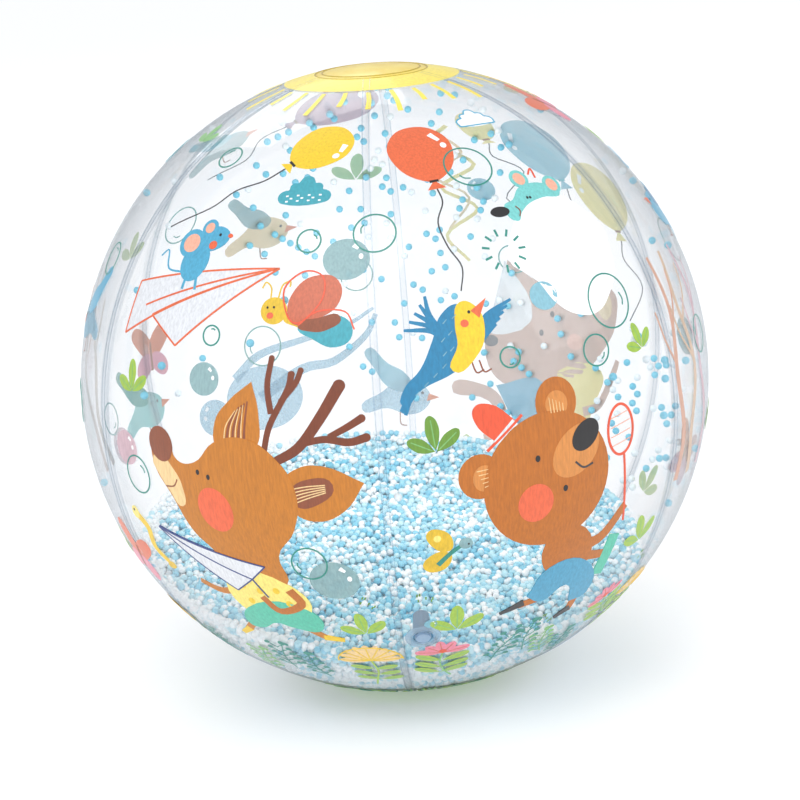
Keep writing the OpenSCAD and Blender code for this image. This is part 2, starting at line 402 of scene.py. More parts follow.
# ---- inflation valve ---------------------------------------------------------
# A soft vinyl stem hangs in a rolling sleeve from a flange welded inside the film.
# Its plug sits in the bore on a short strap, and a thin flap shuts its inner end.
def soft_vinyl(name, deep, light, clearness):
    """Moulded valve vinyl: cloudy, bluish, with a satin skin and a little light passing through."""
    vinyl, tree, out = shader_tree(name)
    make, join = tree.nodes.new, tree.links.new
    place = make("ShaderNodeTexCoord")
    cloud = make("ShaderNodeTexNoise")
    cloud.inputs["Scale"].default_value = 260
    cloud.inputs["Detail"].default_value = 4
    spread = make("ShaderNodeValToRGB")
    spread.color_ramp.elements[0].color = deep
    spread.color_ramp.elements[1].color = light
    body = make("ShaderNodeBsdfPrincipled")
    body.inputs["Roughness"].default_value = 0.28
    relief = make("ShaderNodeBump")
    relief.inputs["Strength"].default_value = 0.2
    relief.inputs["Distance"].default_value = 0.0002
    through = make("ShaderNodeBsdfTransparent")
    blend = make("ShaderNodeMixShader")
    blend.inputs[0].default_value = 1 - clearness
    join(place.outputs["Object"], cloud.inputs["Vector"])
    join(cloud.outputs["Fac"], spread.inputs[0])
    join(cloud.outputs["Fac"], relief.inputs["Height"])
    join(spread.outputs[0], body.inputs["Base Color"])
    join(spread.outputs[0], through.inputs[0])
    join(relief.outputs[0], body.inputs["Normal"])
    join(through.outputs[0], blend.inputs[1])
    join(body.outputs[0], blend.inputs[2])
    join(blend.outputs[0], out.inputs[0])
    return vinyl


valve_vinyl = soft_vinyl("valve_vinyl", tint(150, 178, 204), tint(190, 212, 228), 0.35)
flange_vinyl = soft_vinyl("flange_vinyl", tint(196, 216, 230), tint(222, 236, 244), 0.72)
plug_vinyl = soft_vinyl("plug_vinyl", tint(136, 164, 196), tint(170, 196, 220), 0.2)
for node, vinyl in (
    ("valve_flange", flange_vinyl), ("valve_stem", valve_vinyl), ("valve_plug", plug_vinyl), ("check_flap", valve_vinyl),
):
    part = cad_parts[node]
    part.data.materials.clear()
    part.data.materials.append(vinyl)

# the sleeve and the strap are remade from the CAD's meshes, with their long edges cut finer, in soft vinyl
tip_at, base_at = joint_axis * 0.1744, joint_axis * 0.1604
for node, first_body, second_body, start, end in (
    ("valve_sleeve", "ball", "valve", joint_axis * 0.1738, joint_axis * 0.1614),
    ("plug_strap", "valve", "plug", joint_axis * 0.1732, joint_axis * 0.1751),
):
    made = bmesh.new()
    made.from_mesh(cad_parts[node].data)
    bmesh.ops.remove_doubles(made, verts=made.verts, dist=1e-6)
    long_edges = [e for e in made.edges if abs((e.verts[0].co - e.verts[1].co).dot(joint_axis)) > 0.0008]
    bmesh.ops.subdivide_edges(made, edges=long_edges, cuts=8)
    bmesh.ops.triangulate(made, faces=made.faces)
    soft_mesh = bpy.data.meshes.new(node + "_soft")
    made.to_mesh(soft_mesh)
    soft_mesh.materials.clear()
    soft_mesh.materials.append(flange_vinyl if node == "valve_sleeve" else valve_vinyl)
    soft = show(soft_mesh, node + "_soft")
    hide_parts(node)
    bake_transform(soft)

# ---- printed pictures: ink and press -----------------------------------------
# The film is screen printed while it is flat. Each colour is a thin skin of ink with
# the grain of a pencil drawing. Its back is painted paler, towards white: painted light for the light that shines
# through the print from outside.
INK_FOOT = 0.00032  # middle of the ink's thickness, outside BALL_R, clear of the laps
INK_STEP = 0.00005  # each colour stands this far over the one that it is printed on
MM = 0.001
INKS = {
    "sun": (252, 228, 84), "yellow": (238, 198, 40), "ochre": (222, 182, 44), "lemon": (248, 226, 120),
    "orange": (226, 104, 62), "fawn": (194, 118, 30), "bark": (118, 56, 26), "cream": (240, 204, 146),
    "brown": (138, 74, 46), "rust": (196, 100, 70), "blush": (232, 102, 64), "black": (30, 28, 30),
    "honey": (186, 105, 26), "tan": (212, 136, 66), "rosewood": (208, 160, 138), "red": (230, 86, 52), "jade": (86, 190, 162), "teal": (66, 160, 174),
    "sea": (120, 202, 198), "sky": (80, 166, 200), "blue": (36, 124, 166), "denim": (78, 156, 190),
    "navy": (56, 72, 128), "paper": (224, 226, 230), "white": (252, 253, 254), "lime": (158, 192, 70),
    "olive": (104, 146, 52), "moss": (126, 184, 110), "pink": (232, 132, 152), "shell": (244, 176, 150),
    "mauve": (186, 140, 160), "beige": (206, 176, 150), "charcoal": (60, 58, 60), "pine": (44, 136, 122),
}
CLEAR_INKS = {"smoke": (158, 190, 192), "ice": (150, 206, 222), "haze": (176, 210, 226), "rose": (226, 196, 204)}
inks = {}
for name, colour in {**INKS, **CLEAR_INKS}.items():
    thick = 0.3 if name == "haze" else 0.62 if name in CLEAR_INKS else 1
    # the back colour is mixed towards white: painted light that stands in for light shining through the print from
    # outside
    pale_with_painted_backlight = [c * 0.56 + 255 * 0.44 for c in colour]
    inks[name] = (
        dyed_vinyl("ink_" + name, tint(*[c * 0.9 for c in colour]), tint(*[min(255, c * 1.02) for c in colour]),
                   thick, 900, 0.42, 0.14),
        dyed_vinyl("back_" + name, tint(*[c * 0.97 for c in pale_with_painted_backlight]), tint(*pale_with_painted_backlight), thick * 0.92, 420, 0.5),
    )

drawing = bmesh.new()
colours_used = []


def lay(shape, ink, layer):
    """Adds a flat shape, in millimetres, to the drawing, in one ink."""
    if ink not in colours_used:
        colours_used.append(ink)
    for face in shape.faces:
        face.material_index = colours_used.index(ink)
        if face.normal.z < 0:
            face.normal_flip()
    for vert in shape.verts:
        vert.co.z = layer
    flat = bpy.data.meshes.new("flat")
    shape.to_mesh(flat)
    drawing.from_mesh(flat)
    bpy.data.meshes.remove(flat)
    shape.free()


def patch_of(points, ink, layer=1, corners=()):
    """A filled shape with a smooth outline through the points. The numbered corners stay sharp."""
    outline = bpy.data.curves.new("outline", "CURVE")
    outline.dimensions, outline.fill_mode, outline.resolution_u = "2D", "BOTH", 5
    run = outline.splines.new("BEZIER")
    run.bezier_points.add(len(points) - 1)
    run.use_cyclic_u = True
    for index, (knot, (x, y)) in enumerate(zip(run.bezier_points, points)):
        knot.handle_left_type = knot.handle_right_type = "VECTOR" if corners == "all" or index in corners else "AUTO"
        knot.co = (x, y, 0)
    holder = bpy.data.objects.new("outline", outline)
    flat = bpy.data.meshes.new_from_object(holder)
    shape = bmesh.new()
    shape.from_mesh(flat)
    bmesh.ops.remove_doubles(shape, verts=shape.verts, dist=1e-4)
    bpy.data.meshes.remove(flat)
    bpy.data.objects.remove(holder)
    bpy.data.curves.remove(outline)
    shape.normal_update()
    lay(shape, ink, layer)


def oval(x, y, wide, high, ink, layer=1, turned=0, sides=28):
    shape = bmesh.new()
    bmesh.ops.create_circle(shape, cap_ends=True, segments=sides, radius=1)
    bmesh.ops.scale(shape, verts=shape.verts, vec=(wide, high, 1))
    bmesh.ops.rotate(shape, verts=shape.verts, matrix=Matrix.Rotation(math.radians(turned), 3, "Z"))
    bmesh.ops.translate(shape, verts=shape.verts, vec=(x, y, 0))
    shape.normal_update()
    lay(shape, ink, layer)


def stroke(points, width, ink, layer=2, tip=None, closed=False):
    """A drawn line through the points, from width to tip wide."""
    knots = [Vector(p) for p in points]
    ends = (knots[-1], knots[0]) if closed else (knots[0] * 2 - knots[1], knots[-1] * 2 - knots[-2])
    chain = [ends[0], *knots, ends[1]] + ([knots[1]] if closed else [])
    trail = []
    for a, b, c, d in zip(chain, chain[1:], chain[2:], chain[3:]):
        for part in range(5):
            t = part / 5
            trail.append(0.5 * (2 * b + (c - a) * t + (2 * a - 5 * b + 4 * c - d) * t**2 + (3 * b - a - 3 * c + d) * t**3))
    if not closed:
        trail.append(knots[-1])
    shape = bmesh.new()
    rails = []
    for index, spot in enumerate(trail):
        before = trail[index - 1] if index or closed else spot
        after = trail[(index + 1) % len(trail)] if index + 1 < len(trail) or closed else spot
        way = (after - before).normalized()
        share = index / (len(trail) - 1)
        half = (width if tip is None else width * (1 - share) + tip * share) / 2
        aside = Vector((-way.y, way.x)) * half
        rails.append([shape.verts.new((*(spot + aside), 0)), shape.verts.new((*(spot - aside), 0))])
    pairs = list(zip(rails, rails[1:])) + ([(rails[-1], rails[0])] if closed else [])
    for (a, b), (c, d) in pairs:
        shape.faces.new((a, b, d, c))
    shape.normal_update()
    lay(shape, ink, layer)


def press(name, turn_by, latitude, rolled=0, size=1.0):
    """Prints the drawing on the ball, this far round from the front seam and up from the middle."""
    sheet = drawing
    reach = [max((abs(v.co[axis]) for v in sheet.verts), default=0) for axis in (0, 1)]
    for axis in (0, 1):
        count = int(reach[axis] * size // 6)
        for step in range(-count, count + 1):
            normal = (1, 0, 0) if axis == 0 else (0, 1, 0)
            bmesh.ops.bisect_plane(
                sheet, geom=sheet.verts[:] + sheet.edges[:] + sheet.faces[:],
                plane_co=[n * step * 6 / size for n in normal], plane_no=normal,
            )
    grown = bmesh.ops.extrude_face_region(sheet, geom=sheet.faces[:], use_keep_orig=True)
    under = [v for v in grown["geom"] if isinstance(v, bmesh.types.BMVert)]
    for vert in under:
        vert.co.z *= -1
    bmesh.ops.recalc_face_normals(sheet, faces=sheet.faces)
    for face in sheet.faces:
        if face.normal.z < -0.5:
            face.material_index += len(colours_used)
    spin = math.radians(rolled)
    around, up = math.radians(turn_by), math.radians(latitude)
    out = Vector((math.sin(around) * math.cos(up), -math.cos(around) * math.cos(up), math.sin(up)))
    east = Vector((math.cos(around), math.sin(around), 0))
    north = out.cross(east)
    for vert in sheet.verts:
        x = (vert.co.x * math.cos(spin) - vert.co.y * math.sin(spin)) * size * MM
        y = (vert.co.x * math.sin(spin) + vert.co.y * math.cos(spin)) * size * MM
        far = math.hypot(x, y)
        angle = far / BALL_R
        side = (east * x + north * y) / far if far > 1e-9 else east
        vert.co = (out * math.cos(angle) + side * math.sin(angle)) * (BALL_R + INK_FOOT + vert.co.z * INK_STEP)
    printed = bpy.data.meshes.new("print_" + name)
    sheet.to_mesh(printed)
    for part in (0, 1):
        for colour in colours_used:
            printed.materials.append(inks[colour][part])
    picture = show(printed, "print_" + name)
    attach(picture, "ball")
    colours_used.clear()
    sheet.clear()


# ---- printed sun and sky -----------------------------------------------------
# A yellow sun is printed round the top pole, with its rays down the gores. Round
# it float balloons on strings, small clouds and soap bubbles.
def round_points(x, y, radius, count=12, squash=1.0):
    return [
        (x + radius * math.cos(math.tau * k / count), y + radius * squash * math.sin(math.tau * k / count))
        for k in range(count)
    ]


stroke(round_points(0, 0, 39.6, 36), 17.8, "sun", 1, closed=True)
for ray in range(26):
    angle = math.tau * (ray + 0.5) / 26
    start, end = 50.5 + ray % 2, 66 + 4 * (ray % 3)
    stroke(
        [(r * math.cos(angle + bend), r * math.sin(angle + bend)) for r, bend in ((start, 0), ((start + end) / 2, 0.01), (end, 0))],
        2.4, "sun", 1, 2.9,
    )
press("sun", 0, 90)


def balloon(fill, knot, size, string):
    """An egg-shaped balloon that stands on its knot, with a highlight and a loose string."""
    patch_of(
        [(0, -1), (-5, -0.82 * size), (-0.86 * size, 0.12 * size), (-0.62 * size, 0.9 * size), (0, 1.18 * size),
         (0.66 * size, 0.88 * size), (0.86 * size, 0.1 * size), (5, -0.82 * size)][1:],
        fill, 1,
    )
    patch_of([(0, -0.86 * size), (-5, -1.14 * size), (5, -1.14 * size)], fill, 1, "all")
    stroke([(-2.4, -0.88 * size), (2.4, -0.88 * size)], 1.4, knot, 3)
    stroke([(0.42 * size, 0.78 * size), (0.6 * size, 0.5 * size)], 3.2, "white", 3, 2.2)
    oval(0.66 * size, 0.3 * size, 1.7, 2, "white", 3, sides=12)
    stroke([(0, -1.14 * size), *string], 0.8, "charcoal", 2, 0.7)


balloon("orange", "black", 19.5, [(0, -31), (-6, -42), (-5, -56), (-1, -68), (-5, -80)])
press("balloon_orange", 15.5, 53, 5)
balloon("yellow", "black", 17, [(-2, -32), (-10, -46), (-14, -62), (-30, -84)])
press("balloon_yellow", -15.8, 56.5, -48)
balloon("mauve", "bark", 25, [(3, -45), (-6, -60), (6, -84)])
press("balloon_mauve", -163, 53, 60)
balloon("lemon", "bark", 24, [(3, -40), (-9, -56), (8, -78)])
press("balloon_lemon", 127.5, 25, -4)
balloon("ice", "teal", 25, [(2, -38), (-4, -50), (2, -62)])
press("balloon_sky", 140, 36, -12)
balloon("lemon", "bark", 13, [(3, -26), (-12, -40), (9, -58), (-8, -72), (2, -84)])
press("balloon_small", 155, 43, -10)


def cloud(fill, edge, wide):
    """A flat-bottomed cloud of five puffs."""
    points = []
    for x, y, radius, start, end in (
        (-0.72, -0.06, 0.3, 255, 96), (-0.36, 0.3, 0.27, 190, 74), (0.04, 0.56, 0.3, 170, 8),
        (0.42, 0.28, 0.27, 104, -8), (0.74, -0.06, 0.28, 78, -75),
    ):
        for part in range(4):
            way = math.radians(start + (end - start) * part / 3)
            points.append(((x + radius * math.cos(way)) * wide, (y + radius * math.sin(way)) * wide))
    patch_of(points, fill, 1)
    if edge:
        stroke(points, 0.9, edge, 2, closed=True)
    for row in (0, 1, 2):
        for dash in range(4 - row % 2):
            x = (-0.7 + 0.42 * dash + 0.16 * (row % 2)) * wide
            y = (-0.26 + 0.12 * row) * wide
            stroke([(x, y), (x + 0.1 * wide, y + 0.01)], 0.9, "white", 3)


cloud("teal", None, 14)
press("cloud_teal", -15.9, 46.4, 2)
cloud("white", "sky", 11)
press("cloud_white", 39, 60, -4)
cloud("white", "sky", 12)
press("cloud_far_right", 95, 40)
cloud("teal", None, 15)
press("cloud_far_left", -95, 50)
cloud("white", "teal", 13)
press("cloud_back", 178, 66)

for number, (turn_by, latitude, radius) in enumerate((
    (-13, 37.5, 6.2), (-31, 20.9, 5), (-45.5, 54, 7), (0.9, 38.4, 10.5), (-15, -18.4, 9.4), (26.5, 49.6, 12.5),
    (22.9, 14.8, 5.2), (40, 13, 8), (46, 20.4, 14), (-49.4, -5, 10), (-72, 30, 9), (-80, 2, 12), (75, 8, 10),
    (104, 20, 13), (-104, -8, 9), (-128, 26, 12), (156, 10, 9), (-150, -4, 12), (-171, 8, 10), (118, 52, 9),
)):
    stroke(round_points(0, 0, radius, 14, 1.03), 0.85, "pine", 2, closed=True)
    stroke([(radius * 0.35, radius * 0.55), (radius * 0.58, radius * 0.4), (radius * 0.66, radius * 0.18)], 0.7, "pine", 2)
    press(f"bubble_{number:02d}", turn_by, latitude, number * 40)
for number, (turn_by, latitude, radius, ink) in enumerate((
    (-5, 34, 12, "smoke"), (-31.8, 13.6, 9.2, "smoke"), (-11, -22, 13.2, "smoke"), (31.9, 23.8, 8, "ice"),
    (-52, -0.6, 10, "rose"), (-106, -14, 12, "rose"), (-136, -16, 12, "haze"), (108, 0, 12, "smoke"), (160, 26, 9, "ice"),
    (6.2, -33.5, 3.4, "ice"),
)):
    oval(0, 0, radius, radius * 0.93, ink, 1)
    stroke([(radius * 0.3, radius * 0.62), (radius * 0.5, radius * 0.45)], radius * 0.2, "white", 2, radius * 0.12)
    oval(radius * 0.62, radius * 0.1, radius * 0.1, radius * 0.13, "white", 2, sides=10)
    press(f"drop_{number}", turn_by, latitude)

# ---- printed animals ---------------------------------------------------------
# Cheerful animals in plain shapes, each in a few flat inks with darker pencil marks.
def paper_plane(edge):
    """A folded paper dart that points to the right."""
    patch_of([(45, 22), (-52, -19), (-46, 9)], "paper", 1, "all")
    patch_of([(45, 22), (-30, -9), (-9, -24)], "paper", 2, "all")
    for line in (
        [(45, 22), (-52, -19)], [(-52, -19), (-46, 9)], [(-46, 9), (45, 22)], [(-30, -9), (45, 22)],
        [(-30, -9), (-9, -24)], [(-9, -24), (45, 22)], [(-37, -4), (45, 22)],
    ):
        stroke(line, 1.0, edge, 3)


paper_plane("orange")
press("plane_left", -36, 26.5)
# a small blue mouse that rides on the dart
oval(0, 0, 9, 11, "sky", 4, -16)
oval(7, 13, 11, 7, "sky", 4, 14)
oval(-6, 10, 8.5, 8, "sky", 5, 0)
oval(-6, 10, 5.6, 5.2, "shell", 6)
oval(3, 19, 5, 5, "sky", 4)
oval(3, 19, 3, 3, "shell", 5)
oval(18, 15.5, 1.4, 1.2, "blush", 6, sides=10)
oval(9, 9.5, 2.6, 2.4, "blush", 5, sides=14)
oval(11.5, 15.5, 0.8, 0.9, "black", 6, sides=8)
stroke([(-7, -6), (-18, -4), (-22, 6), (-27, 3)], 1.1, "sky", 3, 0.7)
stroke([(-3, -8), (-4, -15)], 1.6, "sky", 4)
stroke([(4, -8), (5, -15)], 1.6, "sky", 4)
press("mouse", -39, 33.2, 2)

# winged beetle
oval(-17, 1, 7.2, 7, "ochre", 2)
patch_of([(-12, -3), (-4, -8), (6, -15), (12, -15), (2, -6), (-9, 0)], "ochre", 1)
patch_of([(-9, -3), (-6, 12), (6, 19), (16, 16), (17, 5), (6, -4), (-4, -7)], "rust", 2)
patch_of([(-4, -7), (8, -4), (20, -3), (24, -12), (16, -18), (4, -14)], "teal", 3)
patch_of([(-4, -7), (6, -3.4), (18, -3), (12, -9), (2, -10)], "brown", 4)
stroke([(-9, -3), (-12, 12), (-2, 21), (8, 18), (8, 6), (-2, -5)], 0.8, "red", 5, closed=True)
stroke([(-4, -7), (6, 0), (20, 0), (25, -9)], 0.8, "red", 5)
stroke([(-19, 7), (-19, 13), (-22, 16), (-24, 13)], 0.8, "ochre", 2)
stroke([(-15, 7), (-13, 14), (-9, 16), (-9, 13)], 0.8, "ochre", 2)
oval(-19, -1.4, 1.9, 1.7, "blush", 3, sides=12)
for eye in (-20.5, -17):
    oval(eye, 2.8, 0.6, 0.7, "black", 4, sides=8)
press("beetle", -12.5, 25.2)

# deer, with its head up and branching antlers
stroke([(15, 20), (19, 34), (29, 52), (31, 60)], 3.2, "bark", 2, 3.6)
stroke([(20, 40), (18, 54), (20, 68)], 3.4, "bark", 3, 3)
stroke([(25, 46), (33, 55), (36, 62)], 3, "bark", 3, 3)
stroke([(20, 15), (34, 23), (46, 38), (56, 54)], 4.6, "bark", 2, 6.4)
stroke([(36, 25), (48, 27), (60, 25), (69, 27)], 3.4, "bark", 3, 4.4)
stroke([(50, 28), (60, 33), (67, 37)], 3.2, "bark", 4, 4.2)
for x, y, knob in ((31, 60, 1.9), (20, 68, 1.6), (36, 62, 1.6), (56, 54, 3.3), (69, 27, 2.3), (67, 37, 2.2)):
    oval(x, y, knob, knob, "bark", 5, sides=14)
patch_of([(-11, 20), (-13, 34), (-4, 46), (9, 56), (13, 40), (10, 22)], "fawn", 1, (3,))
for vein in range(4):
    stroke([(-6 + 3.4 * vein, 25), (-4 + 3 * vein, 34), (2 + 1.6 * vein, 43 + vein)], 1.6, "brown", 2, 0.8)
    stroke([(-7.6 + 3.4 * vein, 25), (-6 + 3 * vein, 33), (-0.4 + 1.6 * vein, 41 + vein)], 0.7, "cream", 3, 0.4)
patch_of([(22, 2), (32, 12), (46, 13), (66, 3), (54, -12), (38, -17), (26, -10)], "fawn", 1, (3,))
patch_of([(27, -1), (36, 6), (50, 3), (40, -8), (29, -8)], "brown", 2)
for vein in range(5):
    stroke([(28, -7 + 2 * vein), (36, -4 + 1.6 * vein), (46, -1 + vein)], 0.6, "cream", 3)
patch_of(
    [(-58, 10), (-55, 24), (-46, 24), (-40, 12), (-28, 12), (-14, 24), (4, 27), (20, 18), (30, 0), (26, -22),
     (14, -38), (14, -56), (-20, -54), (-24, -40), (-36, -28), (-46, -10)],
    "fawn", 4,
)
patch_of([(-58, 10), (-52, 14), (-44, 8), (-38, -2), (-40, -14), (-48, -6), (-54, 2)], "cream", 5)
oval(-51, 19, 8.4, 9.6, "brown", 6, 24)
oval(-18, -13, 10.5, 12.5, "blush", 5, 20)
for x, y in ((-26, 7), (-19.5, 5)):
    oval(x, y, 1.1, 1.5, "black", 6, sides=10)
stroke([(-50, -4), (-44, -3), (-41, 1)], 0.8, "brown", 6)
stroke([(-16, -62), (-30, -66), (-44, -62)], 5, "fawn", 3, 3)
patch_of([(-22, -54), (14, -56), (22, -76), (-16, -80)], "lemon", 5)
for x, y in ((-14, -59), (-4, -62), (6, -61), (-12, -70), (0, -72), (11, -70)):
    oval(x, y, 2, 2.2, "yellow", 6, sides=12)
patch_of([(-17, -76), (20, -74), (24, -90), (6, -89), (-2, -86), (-14, -92), (-22, -90)], "jade", 6)
stroke([(-18, -88), (-26, -96)], 5, "fawn", 5, 4)
stroke([(14, -88), (24, -98)], 5, "fawn", 5, 4)
stroke([(-24, -95), (-32, -101)], 4.5, "yellow", 6, 3)
stroke([(22, -97), (33, -100)], 4.5, "yellow", 6, 3)
stroke([(14, -60), (18, -70), (4, -76), (-4, -66)], 5.5, "honey", 7, 4)
patch_of([(-64, -31), (4, -45), (-6, -54)], "paper", 8, "all")
patch_of([(-64, -31), (-6, -54), (-18, -63)], "paper", 9, "all")
for line in ([(-64, -31), (4, -45)], [(4, -45), (-6, -54)], [(-64, -31), (-6, -54)], [(-6, -54), (-18, -63)],
             [(-18, -63), (-64, -31)], [(-6, -54), (0, -66)]):
    stroke(line, 0.8, "navy", 10)
press("deer", -25.2, -4.7)

# songbird, wings up
patch_of([(-27, -27), (-16, -20), (0, -14), (12, -6), (16, 8), (8, 20), (-2, 16), (-8, 4), (-16, -10), (-26, -20)], "blue", 2)
patch_of([(0, -13), (13, -7), (19, 6), (16, 18), (8, 21), (4, 10), (4, 0)], "yellow", 3)
patch_of([(13, 16), (22, 22), (17, 12)], "orange", 5, "all")
for feather in range(5):
    tip_x, tip_y = -9 - 3.2 * feather, 26 - 4 * feather
    stroke([(-3, 6 - feather), (-8, (tip_y + 6) / 2), (tip_x, tip_y)], 4, "blue", 1, 1.5)
    stroke([(16, 5 - feather), (21, (tip_y + 4) / 2 - 2), (35 - 2.4 * feather, tip_y - 6 + feather)], 4, "blue", 1, 1.4)
for feather in range(3):
    stroke([(-22, -20 - feather), (-28 + feather, -30 - feather)], 2.6, "blue", 1, 1.8)
oval(12, 15.5, 0.8, 0.9, "black", 5, sides=8)
oval(9, 10, 2.2, 2, "blush", 4, sides=12)
for x, y in ((-20, -23), (-15, -19), (-10, -15), (-5, -11), (-4, -5), (0, -3), (-4, 2), (0, 5), (-2, 11), (3, 13)):
    stroke([(x, y), (x + 2.2, y + 2)], 0.6, "ice", 4, 0.4)
for leg in (10, 14):
    stroke([(leg, -9), (leg + 2, -15), (leg + 6, -14)], 0.8, "brown", 1)
press("songbird", 12.6, 18.1)

# bear in blue trousers, with a net
stroke([(12, -44), (32, -46), (49, -30)], 8, "honey", 3, 5)
stroke([(6, -44), (24, -54), (40, -58)], 7, "honey", 3, 5)
patch_of([(0, -36), (22, -36), (24, -62), (2, -60)], "honey", 3)
oval(-40, 5, 11.5, 12, "honey", 3)
oval(-38, 4, 6, 7, "tan", 4)
oval(4, 37, 12, 13, "honey", 3)
oval(4, 36, 6.5, 7, "tan", 4)
for hair in range(5):
    stroke([(-42 + hair, 8 - 2.2 * hair), (-36, 8.6 - 2.2 * hair)], 0.5, "cream", 5, 0.3)
    stroke([(0.4 + 1.8 * hair, 32), (0 + 1.9 * hair, 40 - hair)], 0.5, "cream", 5, 0.3)
oval(-2, -3, 36.5, 36.5, "honey", 5, sides=44)
oval(14, 10, 16, 12, "tan", 6, 38)
oval(20, 17, 9.5, 7, "black", 7, 38)
stroke([(13, 4), (18, 0), (24, 1)], 1.1, "charcoal", 8)
for x, y in ((-9, 10), (7, -9)):
    oval(x, y, 1.4, 1.8, "black", 7, sides=10)
oval(-10, -14, 10, 10.5, "blush", 6)
patch_of([(-31, 22), (-41, 33), (-41, 41), (-33, 42), (-20, 32)], "red", 6, (0, 4))
stroke([(-31.4, 21.6), (-20.4, 31.6)], 3, "paper", 7)
stroke([(-36, 18), (-26, 26), (-16, 34)], 1.3, "red", 8)
patch_of([(2, -56), (26, -58), (34, -84), (22, -87), (16, -72), (2, -80), (-8, -74)], "denim", 6, (3, 6))
stroke([(0, -77), (-12, -80)], 5, "honey", 5, 4)
stroke([(26, -84), (24, -96)], 5, "honey", 5, 4)
stroke([(-9, -78), (-22, -84)], 5, "charcoal", 6, 2)
stroke([(25, -93), (16, -99)], 5, "charcoal", 6, 2.4)
stroke([(49, -40), (46, 0)], 1.3, "red", 4)
stroke(round_points(44, 14, 9, 14, 1.5), 1.4, "red", 4, closed=True)
for mesh_line in range(4):
    stroke([(37, 6 + 5 * mesh_line), (51, 8 + 5 * mesh_line)], 0.4, "shell", 3)
stroke([(44, -47), (37, -72)], 8, "jade", 4)
press("bear", 28.8, -6)

# turquoise rat with a white coat
patch_of(
    [(-17, 26), (-2, 33), (15, 30), (26, 18), (32, 8), (30, -6), (27, -16), (16, -28), (4, -35), (-7, -34),
     (-19, -25), (-26, -8), (-35, 5), (-29, 15)],
    "white", 1,
)
patch_of([(-21, 33), (-14, 35), (-7, 40), (1, 41), (11, 38), (17, 31), (4, 31), (-6, 30), (-13, 27), (-19, 23)], "sea", 2)
oval(-25, 31, 5.4, 3, "black", 4, -12)
for x, y in ((-2.4, 45), (15, 36.5)):
    oval(x, y, 5.4, 5.8, "sea", 3)
    oval(x, y, 3.4, 3.9, "shell", 4)
for x, y in ((-5.2, 33.4), (-3.4, 33)):
    oval(x, y, 0.7, 0.8, "black", 5, sides=8)
stroke([(-15, 31), (-14, 28), (-16, 25)], 0.6, "brown", 5)
stroke([(5, 46), (9, 49), (8, 43)], 1, "red", 3)
press("white_coat", 40.5, 30.5, 4)
for dash in range(11):
    angle = math.tau * dash / 11
    stroke([(8 * math.cos(angle), 8 * math.sin(angle)), (12 * math.cos(angle), 12 * math.sin(angle))], 1.2, "pine", 2)
press("spark", 26.8, 32.6)

# butterfly
patch_of([(0, -2), (-9, 2), (-11, 10), (-4, 11), (2, 4)], "ochre", 1)
patch_of([(0, -3), (-12, -6), (-13, -12), (-5, -14), (1, -8)], "ochre", 1)
stroke([(-6, -10), (0, -4), (7, 1)], 2.8, "pine", 2, 2)
oval(8.6, 1.5, 3.6, 3.2, "smoke", 3)
oval(10, 1, 0.6, 0.6, "black", 4, sides=8)
oval(-6, 6, 2, 2, "lemon", 2, sides=12)
press("butterfly", 9.9, -16.5)

# worm at the left
stroke([(-5, 14), (2, 6), (0, -6), (7, -15)], 5, "yellow", 1, 4)
oval(-5.5, 14.5, 3.4, 3.8, "lemon", 2)
oval(-6, 16, 0.8, 0.8, "black", 3, sides=8)
oval(8, -17, 3.4, 2.4, "ochre", 2)
press("worm", -51.4, -17.5, 6)

# ---- printed plants ----------------------------------------------------------
# Sprigs of three leaves are dotted over the gores. Flowers, thin stalks and a ring
# of grass grow up from the green cap at the bottom pole.
def leaf(x, y, length, wide, turned, ink, layer=1, vein=None):
    """A pointed leaf that starts at x, y and grows in the direction turned."""
    way = math.radians(turned)
    along, aside = Vector((math.cos(way), math.sin(way))), Vector((-math.sin(way), math.cos(way)))
    root = Vector((x, y))
    points = [(0, 0), (0.35, 0.42), (0.72, 0.46), (1, 0.12), (0.97, -0.16), (0.7, -0.46), (0.35, -0.38)]
    patch_of([tuple(root + along * length * a + aside * wide * b) for a, b in points], ink, layer, (0,))
    if vein:
        stroke([tuple(root + along * length * a) for a in (0.1, 0.5, 0.88)], 0.5, vein, layer + 1)


for number, (turn_by, latitude, size, rolled, ink) in enumerate((
    (-49.8, 9.6, 1.05, 0, "lime"), (-7.4, -35.2, 1.05, 4, "lime"), (11.5, -35.8, 1.2, -2, "lime"),
    (8.4, 1, 1.15, 2, "olive"), (51, 11, 0.9, 10, "lime"), (53, -25, 1.1, 14, "lime"), (-172, 30, 1.3, 0, "moss"),
    (-78, -28, 1.1, 8, "lime"), (84, -12, 1.1, -6, "olive"), (112, -32, 1.1, 4, "lime"), (-112, 22, 1.1, -6, "lime"),
    (-140, -30, 1.1, 8, "olive"), (168, -32, 1.1, 3, "lime"), (100, 44, 0.9, 5, "lime"), (-70, 56, 0.9, 4, "moss"),
)):
    leaf(0, 0, 13, 6.2, 152, ink, 1, "moss")
    leaf(0.4, 0.5, 15.5, 6.4, 94, ink, 2, "moss")
    leaf(0.8, 0, 13.5, 6.2, 38, ink, 1, "moss")
    press(f"sprig_{number:02d}", turn_by, latitude, rolled, size)

